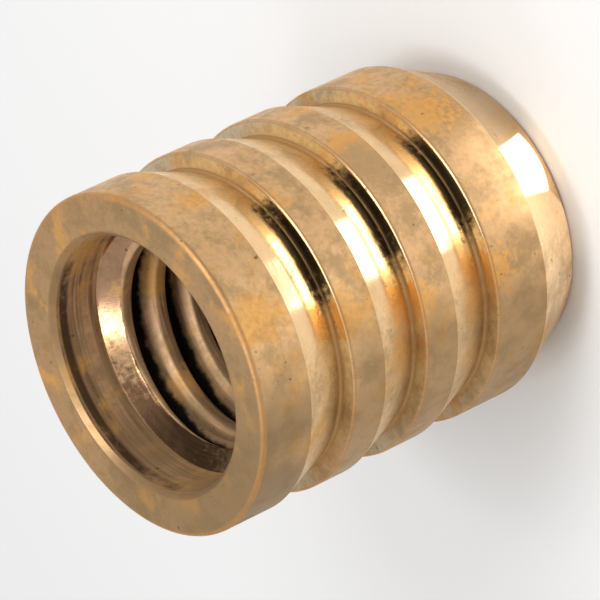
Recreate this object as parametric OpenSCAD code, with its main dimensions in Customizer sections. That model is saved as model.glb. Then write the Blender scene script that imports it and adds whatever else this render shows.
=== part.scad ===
// Knock-in bushing for a screw-in shelf support: one turned brass sleeve.
// It stands on its nose, the end that is driven into the panel, with its
// mouth up. +Z runs along the bore, out of the mouth. Sizes in millimetres.

/* [Body] */
// Length from the nose to the mouth
body_length = 10; // [9:0.1:16]
// Diameter over the collar and the barbs
body_diameter = 8.1; // [7.8:0.1:12]
// Length of the plain collar beside the mouth
collar_land = 1.4; // [0.5:0.1:2]
// Radius on the outer edge of the mouth
mouth_edge_radius = 0.12; // [0.05:0.01:0.25]

/* [Barbs] */
// Number of grooves that leave a barb behind them
groove_count = 3; // [1:1:3]
// Distance from one barb's shoulder to the next
barb_pitch = 2.18; // [1.8:0.02:2.3]
// Depth of each groove below the barbs
groove_depth = 0.46; // [0.2:0.02:0.6]
// Length of the taper that leads from a barb down into a groove
taper_length = 1.27; // [0.8:0.01:1.4]
// Radius in the bottom corner of a groove
groove_root_radius = 0.08; // [0.04:0.01:0.12]
// Radius on the edge of a barb's shoulder
shoulder_edge_radius = 0.07; // [0.03:0.01:0.1]

/* [Nose] */
// Length of the tapered nose
nose_length = 1.5; // [0.6:0.1:1.6]
// Diameter of the flat end of the nose
nose_end_diameter = 6.7; // [6.4:0.1:7]
// Radius on the edge between the nose's taper and its flat end
nose_edge_radius = 0.15; // [0.05:0.01:0.2]

/* [Bore] */
// Diameter of the hole that the thread is cut in, M6 x 1
thread_core_diameter = 5; // [4:0.1:5.2]
// Diameter of the plain recess ahead of the thread
recess_diameter = 6.06; // [5.9:0.02:6.5]
// Depth of the plain recess from the mouth
recess_depth = 1.3; // [0.6:0.1:2]
// Width of the bevel around the mouth of the recess
mouth_bevel = 0.12; // [0.05:0.01:0.2]
// Angle of the lead-in from the recess to the thread, from flat
lead_in_angle = 30; // [15:5:60]
// Width of the bevel where the bore leaves the nose
exit_bevel = 0.3; // [0.1:0.05:0.5]

/* [Hidden] */
// Overshoot of every cutter past the face that it starts from
cut = 1;
$fn = 96;

body_r = body_diameter / 2;
core_r = thread_core_diameter / 2;
recess_r = recess_diameter / 2;
nose_end_r = nose_end_diameter / 2;
lead_in_length = (recess_r - core_r) * tan(lead_in_angle);
// Height of the first groove's bottom corner, below the collar
first_groove_z = body_length - collar_land - taper_length;

// What a round of radius r leaves to cut in the corner between two
// directions that are a1 and a2 degrees from +X, seen from the corner
module corner_sliver(r, a1, a2) {
    half = (a2 - a1) / 2;
    reach = r / tan(half);
    centre = r / sin(half);
    difference() {
        polygon([[0, 0], reach * [cos(a1), sin(a1)],
                 centre * [cos(a1 + half), sin(a1 + half)],
                 reach * [cos(a2), sin(a2)]]);
        translate(centre * [cos(a1 + half), sin(a1 + half)]) circle(r);
    }
}

// Half section of one groove: a flat shoulder facing the mouth, and a taper
// that opens towards the mouth. Its bottom corner is at the origin.
module groove_section() {
    taper_angle = atan2(taper_length, groove_depth);
    slope = groove_depth / taper_length;
    difference() {
        polygon([[0, 0], [groove_depth + cut, 0],
                 [groove_depth + cut, taper_length + cut / slope],
                 [groove_depth, taper_length]]);
        corner_sliver(groove_root_radius, 0, taper_angle);
    }
    translate([groove_depth, 0]) corner_sliver(shoulder_edge_radius, 180, 270);
}

// Half section of the body before it is bored
module body_section() {
    nose_rise = atan2(nose_length, body_r - nose_end_r);
    difference() {
        polygon([[0, 0], [nose_end_r, 0], [body_r, nose_length],
                 [body_r, body_length], [0, body_length]]);
        translate([nose_end_r, 0])
            corner_sliver(nose_edge_radius, nose_rise, 180);
        translate([body_r, body_length])
            corner_sliver(mouth_edge_radius, 180, 270);
        for (i = [0 : groove_count - 1])
            translate([body_r - groove_depth, first_groove_z - i * barb_pitch])
                groove_section();
    }
}

// Half section of the stepped bore, open at both ends
module bore_section() {
    recess_z = body_length - recess_depth;
    polygon([
        [0, -cut], [core_r + exit_bevel + cut, -cut], [core_r, exit_bevel],
        [core_r, recess_z - lead_in_length], [recess_r, recess_z],
        [recess_r, body_length - mouth_bevel],
        [recess_r + mouth_bevel + cut, body_length + cut],
        [0, body_length + cut]
    ]);
}

module bushing() {
    color([0.78, 0.64, 0.42])
        rotate_extrude()
            difference() {
                body_section();
                bore_section();
            }
}

bushing();
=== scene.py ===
import math

import bmesh
import bpy
import numpy as np
from mathutils import Matrix


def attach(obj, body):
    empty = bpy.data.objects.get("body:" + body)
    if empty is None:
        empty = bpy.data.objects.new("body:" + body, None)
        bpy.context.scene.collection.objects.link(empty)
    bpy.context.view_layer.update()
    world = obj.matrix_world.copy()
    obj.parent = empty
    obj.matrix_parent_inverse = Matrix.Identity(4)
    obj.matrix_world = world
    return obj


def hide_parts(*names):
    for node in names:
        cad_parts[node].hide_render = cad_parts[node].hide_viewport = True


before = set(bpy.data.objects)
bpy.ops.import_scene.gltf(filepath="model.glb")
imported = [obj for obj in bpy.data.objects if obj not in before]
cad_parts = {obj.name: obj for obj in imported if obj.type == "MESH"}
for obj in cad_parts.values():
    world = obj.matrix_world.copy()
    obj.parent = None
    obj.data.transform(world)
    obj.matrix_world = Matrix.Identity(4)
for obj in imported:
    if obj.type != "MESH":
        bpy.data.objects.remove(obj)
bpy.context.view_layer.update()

# ---------------------------------------------------------------------------
# The bushing: one sleeve turned from brass bar on an automatic lathe. It is
# faced, grooved and tapered with form tools, parted off at the nose, then
# drilled, recessed and tapped M6 x 1 from the mouth. Sizes in millimetres.
# ---------------------------------------------------------------------------
BODY_LENGTH = 10.0
BODY_R = 4.05
COLLAR_LAND = 1.4
MOUTH_EDGE_R = 0.12
BARB_PITCH = 2.18
GROOVES = 3
GROOVE_DEPTH = 0.46
TAPER_LENGTH = 1.27
SHOULDER_EDGE_R = 0.07
GROOVE_ROOT_R = 0.08
CREST_EDGE_R = 0.05
NOSE_LENGTH = 1.5
NOSE_END_R = 3.35
NOSE_EDGE_R = 0.15
NOSE_RING = 0.3
RECESS_R = 3.03
RECESS_FOOT = BODY_LENGTH - 1.3
MOUTH_BEVEL = 0.12
BEVEL_EDGE_R = 0.02
CORE_R = 2.5
LEAD_IN_ANGLE = math.radians(30)
EXIT_BEVEL = 0.3

# Thread form: a flat root an eighth of the pitch wide between 30 degree flanks,
# with its corners rounded off at the root and at the crest
THREAD_PITCH = 1.0
THREAD_ROOT_R = 3.0
THREAD_HALF_ROOT = THREAD_PITCH / 16
FLANK_RISE = 1 / math.tan(math.radians(30))
THREAD_START = 0.614
ROOT_ROUNDING = 0.05
CREST_ROUNDING = 0.04

# The grid: points round the part, points on an arc, how far from a thread's
# corner its rows crowd, how near to a rim a row is put on it, and how near
# to each other points are merged
AROUND = 208
ARC_STEPS = 7
NEAR_FLANK = 0.05
NEAR_CORE = 0.06
ON_RIM = 0.01
SAME_PLACE = 0.001
MM = 0.001

# Finishes along the profile: the tool leaves lands and faces matt, and the
# tapers and shoulders bright. The recess is as dull as the rest of the bore
MATT, BRIGHT, SHOULDER, FACE, BORED = 0, 1, 2, 3, 4


def rounded_profile(corners, radii, finishes, support=0.03):
    """The polyline through the corners, each corner replaced by an arc that
    touches both of its sides, with one more point a short way along each
    side, so that a flat beside an arc is shaded flat. Also gives, for each
    point, the finish of the side that it lies on, and 1 on an arc."""
    c = np.asarray(corners, float)
    radius = np.asarray(radii, float)[:, None]
    back = c[:-2] - c[1:-1]
    ahead = c[2:] - c[1:-1]
    back /= np.linalg.norm(back, axis=1, keepdims=True)
    ahead /= np.linalg.norm(ahead, axis=1, keepdims=True)
    half = np.arccos(np.clip((back * ahead).sum(1, keepdims=True), -1, 1)) / 2
    reach = radius / np.tan(half)
    middle = back + ahead
    middle /= np.linalg.norm(middle, axis=1, keepdims=True)
    centre = (c[1:-1] + middle * radius / np.sin(half))[:, None, :]
    start = c[1:-1] + back * reach
    end = c[1:-1] + ahead * reach
    # Between its ends an arc turns evenly about its centre
    share = np.linspace(0, 1, ARC_STEPS)[None, :, None]
    turn = np.pi - 2 * half[:, :, None]
    arc = (np.sin((1 - share) * turn) * (start[:, None, :] - centre)
           + np.sin(share * turn) * (end[:, None, :] - centre)) / np.sin(turn)
    points = np.concatenate([(start + back * support)[:, None], arc + centre,
                             (end + ahead * support)[:, None]], 1)
    before, after = np.asarray(finishes[:-1]), np.asarray(finishes[1:])
    split = np.arange(ARC_STEPS + 2) < (ARC_STEPS + 2) / 2
    finish = np.where(split[None], before[:, None], after[:, None])
    edge = np.zeros_like(finish)
    edge[:, 2:-2] = 1
    return (np.concatenate([c[:1], points.reshape(-1, 2), c[-1:]]),
            np.concatenate([finishes[:1], finish.ravel(), finishes[-1:]]),
            np.concatenate([[0], edge.ravel(), [0]]))


def body_profile():
    """Radius and height from the foot of the recess, up its wall, over the
    mouth, down the barbs and in across the nose."""
    corners = [(RECESS_R, RECESS_FOOT), (RECESS_R, BODY_LENGTH - MOUTH_BEVEL),
               (RECESS_R + MOUTH_BEVEL, BODY_LENGTH), (BODY_R, BODY_LENGTH)]
    radii = [BEVEL_EDGE_R, BEVEL_EDGE_R, MOUTH_EDGE_R]
    finishes = [BORED, FACE, FACE, MATT]
    land_end = BODY_LENGTH - COLLAR_LAND
    for groove in range(GROOVES):
        shoulder = land_end - TAPER_LENGTH
        corners += [(BODY_R, land_end), (BODY_R - GROOVE_DEPTH, shoulder),
                    (BODY_R, shoulder)]
        radii += [CREST_EDGE_R, GROOVE_ROOT_R, SHOULDER_EDGE_R]
        finishes += [BRIGHT, SHOULDER, MATT]
        land_end -= BARB_PITCH
    corners += [(BODY_R, NOSE_LENGTH), (NOSE_END_R, 0.0),
                (NOSE_END_R - NOSE_RING, 0.0)]
    radii += [CREST_EDGE_R, NOSE_EDGE_R]
    finishes += [BRIGHT, FACE]
    return rounded_profile(corners, radii, finishes)


def soft_largest(a, b, width):
    """The larger of a and b, with the corner where they cross rounded off."""
    return (a + b + np.sqrt((a - b) ** 2 + width**2)) / 2


def bore_radius(height, angle):
    """The larger of the drilled bore, with its lead-in and exit bevels, and
    the thread's groove, whose flanks fall away from a flat root. The groove
    is a right-hand helix: its root climbs one pitch for each turn."""
    drilled = np.maximum(
        CORE_R + EXIT_BEVEL - height,
        RECESS_R + (height - RECESS_FOOT) / math.tan(LEAD_IN_ANGLE),
    )
    drilled = np.clip(drilled, CORE_R, RECESS_R)
    turns = (height - THREAD_START) / THREAD_PITCH - angle / (2 * np.pi)
    off_root = np.abs(turns - np.round(turns)) * THREAD_PITCH
    flank = THREAD_ROOT_R - (off_root - THREAD_HALF_ROOT) * FLANK_RISE
    root = np.full_like(flank, THREAD_ROOT_R)
    groove = -soft_largest(-flank, -root, ROOT_ROUNDING)
    return soft_largest(drilled, groove, CREST_ROUNDING)


def thread_rows():
    """Heights of the bore's rows where the turn begins. A row climbs with the
    thread and meets the row one pitch above it after a turn. Rows crowd where
    the flanks leave the root and where they reach the core."""
    flank_start = THREAD_HALF_ROOT + NEAR_FLANK
    corner = THREAD_HALF_ROOT + (THREAD_ROOT_R - CORE_R) / FLANK_RISE
    flank_end, crest_start = corner - NEAR_FLANK, corner + NEAR_CORE
    half = np.concatenate([
        np.linspace(0, flank_start, 5)[:-1],
        np.linspace(flank_start, flank_end, 4)[:-1],
        np.linspace(flank_end, crest_start, 6)[:-1],
        np.linspace(crest_start, THREAD_PITCH / 2, 3),
    ])
    one = np.concatenate([half, THREAD_PITCH - half[1:-1][::-1]])
    pitches = np.arange(-2, round(BODY_LENGTH / THREAD_PITCH) + 2)
    rows = (pitches[:, None] * THREAD_PITCH + one[None]).ravel()
    return rows + THREAD_START % THREAD_PITCH, len(one)


def way_along(section):
    """Distance travelled down the rows of a grid, from its first row."""
    steps = np.linalg.norm(np.diff(section, axis=0), axis=-1)
    return np.concatenate([np.zeros_like(steps[:1]), np.cumsum(steps, axis=0)])


angle = np.linspace(0, 2 * np.pi, AROUND, endpoint=False)

# The bore: rows that climb with the thread, held between nose and recess
rows, per_pitch = thread_rows()
bore_z = np.clip(rows[:, None] + THREAD_PITCH * angle[None] / (2 * np.pi),
                 0.0, RECESS_FOOT)
bore_z = np.where(bore_z > RECESS_FOOT - ON_RIM, RECESS_FOOT, bore_z)
bore_z = np.where(bore_z < ON_RIM, 0.0, bore_z)
bore_r = np.where(bore_z < RECESS_FOOT, bore_radius(bore_z, angle[None]), RECESS_R)
bore_points = np.stack([bore_r * np.cos(angle), bore_r * np.sin(angle), bore_z], -1)
bore_along = way_along(np.stack([bore_r, bore_z], -1))
bore_along -= bore_along[-1:]
here = np.arange(len(rows))[:, None] * AROUND + np.arange(AROUND)[None]
beside = np.roll(here, -1, axis=1)
beside[:, -1] = here[np.minimum(np.arange(len(rows)) + per_pitch, len(rows) - 1), 0]
bore_faces = np.stack([here[:-1], beside[:-1], beside[1:], here[1:]], -1)

# The outside: the profile turned about the axis. It ends where the bore opens
outline, finish, on_edge = body_profile()
turned_r = outline[:, :1] + 0 * angle
turned_z = outline[:, 1:] + 0 * angle
turned_r[-1] = bore_r[0]
turned_points = np.stack(
    [turned_r * np.cos(angle), turned_r * np.sin(angle), turned_z], -1)
turned_along = way_along(np.stack([turned_r, turned_z], -1))
there = (len(rows) + np.arange(len(outline))[:, None]) * AROUND + np.arange(AROUND)
beyond = np.roll(there, -1, axis=1)
turned_faces = np.stack([there[:-1], beyond[:-1], beyond[1:], there[1:]], -1)

points = np.concatenate([bore_points.reshape(-1, 3), turned_points.reshape(-1, 3)])
faces = np.concatenate([bore_faces.reshape(-1, 4), turned_faces.reshape(-1, 4)])
mesh = bpy.data.meshes.new("brass_bushing")
mesh.from_pydata((points * MM).tolist(), [], faces.tolist())

# What the material reads at each point: the way along the profile, which
# finish it has, whether it is on a rounded edge or in a groove's corner, and
# how deep it is in the thread's groove, from 0 at the core to 1 at the root
plain = np.zeros(len(rows) * AROUND)
outside = np.zeros(len(outline) * AROUND)
outline_r, outline_z = outline.T
in_corner = (on_edge == 1) & (outline_r < BODY_R - GROOVE_DEPTH / 2)
in_corner &= (outline_z > NOSE_LENGTH) & (outline_r > RECESS_R + MOUTH_BEVEL)
in_groove = (bore_r.ravel() - CORE_R) / (THREAD_ROOT_R - CORE_R)
lead_in_foot = RECESS_FOOT - (RECESS_R - CORE_R) * math.tan(LEAD_IN_ANGLE)
in_groove *= bore_z.ravel() < lead_in_foot
on_bevel = (finish == FACE) & (outline_r < RECESS_R + MOUTH_BEVEL + ON_RIM)
on_bevel &= outline_z > RECESS_FOOT
marks = {
    "along": np.concatenate([bore_along.ravel(), turned_along.ravel()]),
    "bright": np.concatenate([plain, np.repeat(finish == BRIGHT, AROUND)]),
    "shoulder": np.concatenate([plain, np.repeat(finish == SHOULDER, AROUND)]),
    "edge": np.concatenate([plain, np.repeat(on_edge * (1 - in_corner), AROUND)]),
    "corner": np.concatenate([plain, np.repeat(in_corner, AROUND)]),
    "bore": np.concatenate([plain + 1, np.repeat(finish == BORED, AROUND)]),
    "groove": np.concatenate([in_groove, outside]),
    "bevel": np.concatenate([plain, np.repeat(on_bevel, AROUND)]),
}
for name, values in marks.items():
    layer = mesh.attributes.new(name, "FLOAT", "POINT")
    layer.data.foreach_set("value", values.astype(np.float32))

shape = bmesh.new()
shape.from_mesh(mesh)
bmesh.ops.remove_doubles(shape, verts=shape.verts, dist=SAME_PLACE * MM)
bmesh.ops.recalc_face_normals(shape, faces=shape.faces)
shape.to_mesh(mesh)
shape.free()

# The rims where the bore meets the recess and the nose stay sharp
co = np.empty(len(mesh.vertices) * 3)
mesh.vertices.foreach_get("co", co)
point_z = co[2::3] / MM
point_r = np.hypot(co[0::3], co[1::3]) / MM
rim = (np.abs(point_z - RECESS_FOOT) < SAME_PLACE) & (point_r < RECESS_R + SAME_PLACE)
rim |= (point_z < SAME_PLACE) & (point_r < NOSE_END_R - NOSE_RING - ON_RIM)
ends = np.empty(len(mesh.edges) * 2, int)
mesh.edges.foreach_get("vertices", ends)
mesh.edges.foreach_set("use_edge_sharp", rim[ends.reshape(-1, 2)].all(1))
mesh.polygons.foreach_set("use_smooth", np.ones(len(mesh.polygons), bool))
mesh.update()

bushing = bpy.data.objects.new("brass_bushing", mesh)
bpy.context.scene.collection.objects.link(bushing)
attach(bushing, "root")
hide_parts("bushing")

# Turned brass, a year or two old: matt lands, bright tapers, olive and orange
# tarnish in patches, and a bore browned by cutting oil. Painted shade darkens
# one side, the grooves and parts of the bore; a painted highlight keeps the
# lit side of the grooves bright
brass = bpy.data.materials.new("turned_brass")
brass.use_nodes = True
tree = brass.node_tree
skin = tree.nodes["Principled BSDF"]
skin.inputs["Specular IOR Level"].default_value = 0.2


def fit(kind, settings=None, **inputs):
    """A node of the kind in the tree at hand, with its settings, and each
    input given a value or joined to the output that is passed. An input is
    passed by its name, or by its number after an underscore."""
    made = tree.nodes.new(kind)
    for key, value in (settings or {}).items():
        setattr(made, key, value)
    for key, value in inputs.items():
        socket = made.inputs[int(key[1:]) if key[0] == "_" else key.replace("_", " ")]
        if isinstance(value, bpy.types.NodeSocket):
            tree.links.new(value, socket)
        else:
            socket.default_value = value
    return made


def sum_of(a, b):
    """Two outputs or numbers added together."""
    return fit("ShaderNodeMath", {"operation": "ADD"}, _0=a, _1=b).outputs[0]


def product(a, b):
    """Two outputs or numbers multiplied together."""
    return fit("ShaderNodeMath", {"operation": "MULTIPLY"}, _0=a, _1=b).outputs[0]


def between(value, low, high, to_low=0.0, to_high=1.0):
    """The value carried smoothly from the range low..high to another range."""
    return fit("ShaderNodeMapRange", {"interpolation_type": "SMOOTHSTEP"},
               Value=value, From_Min=low, From_Max=high, To_Min=to_low,
               To_Max=to_high).outputs[0]


def noise(where, scale, detail=2.0, roughness=0.5):
    """Random light and dark about 0.5, with patches 1 / scale across."""
    return fit("ShaderNodeTexNoise", None, Vector=where, Scale=scale,
               Detail=detail, Roughness=roughness).outputs[0]


def tint(amount, a, b):
    """Colour a turned towards colour b by the amount."""
    return fit("ShaderNodeMix", {"data_type": "RGBA"}, _0=amount, _6=a,
               _7=b).outputs[2]


def attribute(name):
    """The mark of that name which the mesh carries at its points."""
    return fit("ShaderNodeAttribute", {"attribute_name": name}).outputs["Fac"]


def larger(a, b):
    """The larger of two outputs or numbers."""
    return fit("ShaderNodeMath", {"operation": "MAXIMUM"}, _0=a, _1=b).outputs[0]


def uneven(texture, amount):
    """The texture about 0, times an amount. Added to what sets a patch's
    edge, it makes that edge ragged."""
    return product(sum_of(texture, -0.5), amount)


# Places on the part in millimetres, the distance from its axis, and the
# direction away from it
on_part = fit("ShaderNodeTexCoord").outputs["Object"]
where = fit("ShaderNodeVectorMath", {"operation": "SCALE"}, Vector=on_part,
            Scale=1 / MM).outputs[0]
across = fit("ShaderNodeVectorMath", {"operation": "MULTIPLY"}, _0=where,
             _1=(1, 1, 0)).outputs[0]
radius = fit("ShaderNodeVectorMath", {"operation": "LENGTH"},
             _0=across).outputs["Value"]
outward = fit("ShaderNodeVectorMath", {"operation": "NORMALIZE"},
              _0=across).outputs[0]
along, bright, shoulder, edge, corner, bore, groove, bevel = map(attribute, (
    "along", "bright", "shoulder", "edge", "corner", "bore", "groove", "bevel"))
height = fit("ShaderNodeSeparateXYZ", None, Vector=where).outputs["Z"]

# Tool marks run round the part, so they change quickly along the profile
# and slowly with the direction outwards
down_profile = fit("ShaderNodeCombineXYZ", None, Z=product(along, 14.0)).outputs[0]
lathe = fit("ShaderNodeVectorMath", {"operation": "MULTIPLY_ADD"}, _0=outward,
            _1=(1.5, 1.5, 1.5), _2=down_profile).outputs[0]
tool_marks = noise(lathe, 1.0, 3.0, 0.6)
bands = noise(lathe, 0.35, 3.0, 0.6)
grain = noise(where, 7.0, 3.0, 0.65)
clouds = noise(where, 1.25, 6.0, 0.72)
patches = noise(where, 0.9, 5.0, 0.62)
smudges = noise(where, 0.55, 2.0, 0.5)
pits = noise(where, 6.0, 1.0, 0.4)


def spot(centre, size):
    """1 about a place on the part, falling to 0 at a ragged edge. In mm."""
    off = fit("ShaderNodeVectorMath", {"operation": "DISTANCE"}, _0=where,
              _1=centre).outputs["Value"]
    ragged = sum_of(off, uneven(grain, 2.5 * size))
    return between(ragged, 0.4 * size, size, 1.0, 0.0)


def facing(degrees):
    """How far the skin faces a direction round the axis, from -1 to 1."""
    turn = math.radians(degrees)
    return fit("ShaderNodeVectorMath", {"operation": "DOT_PRODUCT"}, _0=outward,
               _1=(math.cos(turn), math.sin(turn), 0)).outputs["Value"]


# Painted highlight: the grooves are kept clean and bright on the side where
# they catch the lamps, and dulled all round it
grooves = sum_of(bright, shoulder)
lit_side = between(sum_of(facing(-78), uneven(clouds, 0.25)), 0.80, 0.93, 0.3, 1.0)
lit_grooves = product(grooves, lit_side)
less_where_lit = between(lit_grooves, 0.0, 1.0, 1.0, 0.25)

# Orange tarnish lies in patches everywhere, less on the lit side of the grooves.
# More orange is laid in spots just below that lit side
orange = product(between(patches, 0.50, 0.66), less_where_lit)
ORANGE_SPOTS = (((2.45, -3.2, 2.3), 0.9), ((-1.3, -3.6, 5.2), 0.75),
                ((-1.4, -3.8, 2.9), 0.75), ((-0.9, -3.9, 7.3), 0.6),
                ((-1.9, -3.3, 3.4), 0.6), ((-2.2, -3.1, 5.6), 0.7))
for place, size in ORANGE_SPOTS:
    orange = larger(orange, spot(place, size))
tarnish = product(orange, 0.8)

# Olive tarnish clouds the rest, less on the lit side. Two olive spots lie on
# the lands above the lit side
olive_spots = larger(spot((2.0, -3.5, 4.7), 1.1), spot((2.3, -3.3, 2.0), 1.0))
dulled = product(between(clouds, 0.42, 0.64), between(lit_grooves, 0.0, 1.0, 0.68, 0.2))
dulled = larger(dulled, product(olive_spots, between(lit_grooves, 0.0, 1.0, 0.55, 0.0)))
# Painted shade: the nose's taper is darkened on the side beyond its highlight
nose = between(height, NOSE_LENGTH - 0.1, NOSE_LENGTH, 1.0, 0.0)
nose_shade = product(nose, between(facing(-10), 0.30, 0.62, 0.0, 0.4))

# Painted shade: the side away from the main lamp is darkened, more on the
# collar and less at the mouth's edge
shaded_side = between(sum_of(facing(185), uneven(smudges, 1.4)), 0.2, 0.9)
shaded_side = product(shaded_side, between(grooves, 0.0, 1.0, 1.0, 0.55))
shaded_side = product(shaded_side, between(height, 8.3, 8.7, 0.65, 0.95))
shaded_side = product(shaded_side, between(height, 9.9, 9.98, 1.0, 0.6))
speck = product(between(pits, 0.74, 0.82), 0.7)
flecks = product(product(between(grain, 0.35, 0.7), 0.28), less_where_lit)

# Inside, painted shade darkens a band just under the mouth on one side, and one
# side of the lead-in cone. The cone, cut last and brighter, has dark lines
# along its tool marks on that side too
above_foot = between(height, 8.39, 8.41)
below_recess = between(height, 8.695, 8.70, 1.0, 0.0)
cone = product(bore, product(above_foot, below_recess))
scored = product(between(tool_marks, 0.44, 0.56), between(facing(155), 0.45, 0.9))
cone_shade = between(sum_of(facing(125), uneven(grain, 0.6)), 0.55, 0.95)
shaded_ring = product(between(height, 9.47, 9.62), between(height, 9.76, 9.84, 1.0, 0.0))
shaded_ring = product(shaded_ring, between(sum_of(facing(84), uneven(clouds, 1.6)), 0.25, 0.85))
bore_shade = larger(product(shaded_ring, bore), product(cone, cone_shade))

# Painted shade: the bottom of the thread is darkened nearly to black, and a
# painted dark reflection lies low in each outer groove beside its highlight
painted_groove_shade = between(sum_of(groove, uneven(clouds, 0.9)), 0.56, 0.84)
dark_band = between(sum_of(radius, uneven(clouds, 0.12)), 3.67, 3.74, 1.0, 0.0)
dark_band = product(dark_band, between(height, NOSE_LENGTH, NOSE_LENGTH + 0.1))
dark_band = product(dark_band, sum_of(product(bright, 0.95), product(shoulder, 0.62)))
dark_band_side = between(sum_of(facing(-75.5), uneven(grain, 0.16)), 0.90, 0.98)
painted_groove_shade = larger(painted_groove_shade, product(dark_band, dark_band_side))

# The tapers and shoulders get lighter copies of the brass than the lands: partly
# their brighter finish, partly painted light for what they mirror
LAND, TAPER = (0.73, 0.45, 0.22, 1), (0.96, 0.67, 0.36, 1)
SHELF, SHADE_BROWN = (0.98, 0.83, 0.57, 1), (0.30, 0.20, 0.10, 1)
DRILLED, BROWNED = (0.80, 0.50, 0.29, 1), (0.22, 0.12, 0.06, 1)
CONE, SCORED = (0.74, 0.42, 0.25, 1), (0.10, 0.05, 0.03, 1)
bored = tint(between(bands, 0.38, 0.62), DRILLED, BROWNED)

# From the bare metal outwards: each layer covers the last by its amount.
# Several layers are painted shade, not anything on the metal
colour = tint(bright, LAND, TAPER)
for amount, shade in (
    (shoulder, SHELF),
    (bore, bored),
    (cone, tint(scored, CONE, SCORED)),
    (dulled, (0.40, 0.27, 0.13, 1)),
    (tarnish, (0.86, 0.47, 0.14, 1)),
    # Painted shade on the side away from the main lamp
    (shaded_side, SHADE_BROWN),
    # Painted shade on the nose's taper beyond its highlight
    (product(nose_shade, bright), SHADE_BROWN),
    # Painted shade: the rounded edges are darkened, which dims their highlights
    (product(edge, 0.65), (0.62, 0.33, 0.13, 1)),
    # Painted shade: the mouth's chamfer is darkened, which dims its highlight
    (product(bevel, 0.6), (0.30, 0.19, 0.10, 1)),
    (flecks, (0.42, 0.27, 0.13, 1)),
    # Painted shade: the rounded groove roots are darkened
    (corner, (0.58, 0.35, 0.15, 1)),
    (speck, (0.10, 0.06, 0.03, 1)),
    # Painted shade in the bore: a band under the mouth and one side of the cone
    (product(bore_shade, 0.92), (0.06, 0.03, 0.015, 1)),
    # Painted shade in the thread's bottom, and a painted dark reflection in the
    # grooves
    (painted_groove_shade, (0.008, 0.006, 0.004, 1)),
):
    colour = tint(amount, colour, shade)
tree.links.new(colour, skin.inputs["Base Color"])

# Bare brass is metal through and through. The browned bore is only partly so
browned = product(bore, between(cone, 0.0, 1.0, 1.0, 0.15))
metal = between(browned, 0.0, 1.0, 1.0, 0.3)
tree.links.new(metal, skin.inputs["Metallic"])

# The lit side of the grooves and the cone are smooth; tarnish, the painted
# shade and the rounded edges are rougher
gloss = between(sum_of(lit_grooves, product(cone, 0.8)), 0.0, 1.0, 0.42, 0.14)
gloss = sum_of(gloss, uneven(grain, 0.15))
for amount, rougher in ((tarnish, 0.2), (dulled, 0.12), (shaded_side, 0.10),
                        (painted_groove_shade, 0.2), (corner, 0.2), (edge, 0.12)):
    gloss = sum_of(gloss, product(amount, rougher))
tree.links.new(gloss, skin.inputs["Roughness"])

# The tool marks and the grain stand up by a few microns, and specks are pits
RELIEF_DEPTH = 0.0025
relief = sum_of(product(tool_marks, 0.5), product(grain, 0.6))
relief = sum_of(relief, product(speck, -1.5))
bump = fit("ShaderNodeBump", None, Strength=1.0, Distance=RELIEF_DEPTH * MM,
           Height=relief)
tree.links.new(bump.outputs[0], skin.inputs["Normal"])
mesh.materials.append(brass)

# ---------------------------------------------------------------------------
# The floor: a plain pale sheet, matt, on which the bushing stands. It is wide
# enough to fill every view from above.
# ---------------------------------------------------------------------------
FLOOR_REACH = 90
FLOOR_SHADE = 0.88


def card(name, corners, shade):
    """A flat four-cornered card of one even matt shade. Corners in mm."""
    sheet = bpy.data.meshes.new(name)
    sheet.from_pydata((np.array(corners, float) * MM).tolist(), [], [(0, 1, 2, 3)])
    held = bpy.data.objects.new(name, sheet)
    bpy.context.scene.collection.objects.link(held)
    paint = bpy.data.materials.new(name)
    paint.use_nodes = True
    coat = paint.node_tree.nodes["Principled BSDF"]
    coat.inputs["Base Color"].default_value = (shade, shade, shade, 1)
    coat.inputs["Roughness"].default_value = 0.9
    coat.inputs["Specular IOR Level"].default_value = 0.0
    sheet.materials.append(paint)
    return held


card("floor", [(x * FLOOR_REACH, y * FLOOR_REACH, 0)
               for x, y in ((-1, -1), (1, -1), (1, 1), (-1, 1))], FLOOR_SHADE)

# ---------------------------------------------------------------------------
# The light: a soft main lamp from the front right, a box overhead and one for
# the bore. The tapers mirror small lamps that lie by the foot, and the grooves
# and the front of the collar mirror a black card and mat.
# ---------------------------------------------------------------------------
scene = bpy.context.scene
scene.view_settings.view_transform = "Standard"
world = bpy.data.worlds.new("room")
world.use_nodes = True
tree = world.node_tree
direction = fit("ShaderNodeTexCoord").outputs["Generated"]
up = fit("ShaderNodeSeparateXYZ", None, Vector=direction).outputs["Z"]
# White low down, grey above, and white again straight overhead
walls, ceiling = between(up, 0.15, 0.5, 1.0, 0.45), between(up, 0.84, 0.93, 0.0, 0.55)
tree.links.new(sum_of(walls, ceiling), tree.nodes["Background"].inputs["Strength"])
tree.nodes["Background"].inputs["Color"].default_value = (1, 1, 1, 1)
scene.world = world


def turned_to(place, aim, side):
    """The matrix that puts a lamp or a camera at a place, in mm, and turns it
    to face its aim. Its x axis is the side, laid square to the way it faces."""
    place, side = np.array(place, float), np.array(side, float)
    away = place - aim
    away /= np.linalg.norm(away)
    side -= away * (side @ away)
    side /= np.linalg.norm(side)
    turned = np.eye(4)
    turned[:3, 0], turned[:3, 1], turned[:3, 2] = side, np.cross(away, side), away
    turned[:3, 3] = place * MM
    return Matrix(turned.tolist())


def soft_lamp(name, place, aim, size, radiance, long_side=(1, 0, 0)):
    """An area lamp at a place, facing its aim, of the given brightness per
    square metre and steradian. Its first size lies along its long side.
    Sizes in millimetres."""
    lamp = bpy.data.lights.new(name, "AREA")
    lamp.shape = "RECTANGLE"
    lamp.size, lamp.size_y = size[0] * MM, size[1] * MM
    lamp.energy = radiance * math.pi * lamp.size * lamp.size_y
    holder = bpy.data.objects.new(name, lamp)
    scene.collection.objects.link(holder)
    holder.matrix_world = turned_to(place, aim, long_side)
    holder.visible_camera = False


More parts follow.
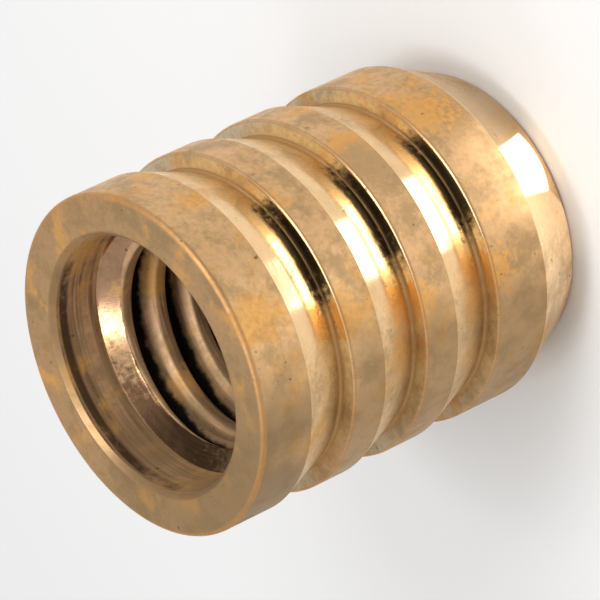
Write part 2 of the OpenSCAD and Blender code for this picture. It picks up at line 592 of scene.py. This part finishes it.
soft_lamp("front_right", (45, -50, 75), (2, 2, 4), (40, 40), 5.5)
soft_lamp("overhead_box", (8.8, -15.4, 77), (0, 0, 5), (33, 10), 14.0, (1, 0.32, 0))
soft_lamp("bore_lamp", (-25, 5, 79), (0, 0, 8.5), (12, 12), 9.0)
for name, (x, y, z), size, radiance, long_side in (
    ("taper_lamp", (0.85, -5.15, 0.03), (3.8, 1.5), 3.2, (1, 0.23, 0)),
    ("nose_lamp", (0.5, -3.75, 0.03), (1.6, 0.65), 3.4, (1, 0.16, 0)),
    ("nose_glow", (-1.9, -3.35, 0.02), (4.2, 1.2), 0.4, (1, -0.55, 0)),
    ("collar_glow", (-0.3, -17, 0.02), (11, 6), 1.4, (1, 0, 0)),
):
    # These lie on the floor and face straight up
    soft_lamp(name, (x, y, z), (x, y, 1), size, radiance, long_side)

# The card stands on the floor, and the mat lies between it and the bushing
CARD_LEFT, CARD_RIGHT, CARD_HEIGHT = (1, -42), (48, -27), 22
MAT_LEFT, MAT_RIGHT, MAT_HEIGHT = (1, -30), (34, -19), 0.1
BLACK = 0.01
mat = card("black_mat", [(*MAT_LEFT, MAT_HEIGHT), (*CARD_LEFT, MAT_HEIGHT),
                         (*CARD_RIGHT, MAT_HEIGHT), (*MAT_RIGHT, MAT_HEIGHT)], BLACK)
flag = card("black_card", [(*CARD_LEFT, 0), (*CARD_RIGHT, 0),
                           (*CARD_RIGHT, CARD_HEIGHT),
                           (*CARD_LEFT, CARD_HEIGHT)], BLACK)
for held in (mat, flag):
    # Seen only as a reflection: neither hides the floor nor shades it
    held.visible_camera = False
    held.visible_diffuse = False
    held.visible_shadow = False

# ---------------------------------------------------------------------------
# The camera: a long lens 135 mm away. It is rolled until the mouth faces down
# and to the left in the frame, and the nose points up and to the right.
# ---------------------------------------------------------------------------
IMAGE_PX = 600
FOCAL_PX = 6000.0
SENSOR_WIDTH = 36.0
NEAREST, FARTHEST = 10, 2000
CAMERA_PLACE = (0.0, -110.347, 82.3232)
CAMERA_AIM = (-0.16284, 0.0, 5.37923)
CAMERA_SIDE = (-0.42541, -0.51806, -0.74205)
camera_data = bpy.data.cameras.new("camera")
camera_data.sensor_width = SENSOR_WIDTH
camera_data.lens = FOCAL_PX / IMAGE_PX * SENSOR_WIDTH
camera_data.clip_start = NEAREST * MM
camera_data.clip_end = FARTHEST * MM
camera = bpy.data.objects.new("camera", camera_data)
scene.collection.objects.link(camera)
camera.matrix_world = turned_to(CAMERA_PLACE, CAMERA_AIM, CAMERA_SIDE)
scene.camera = camera
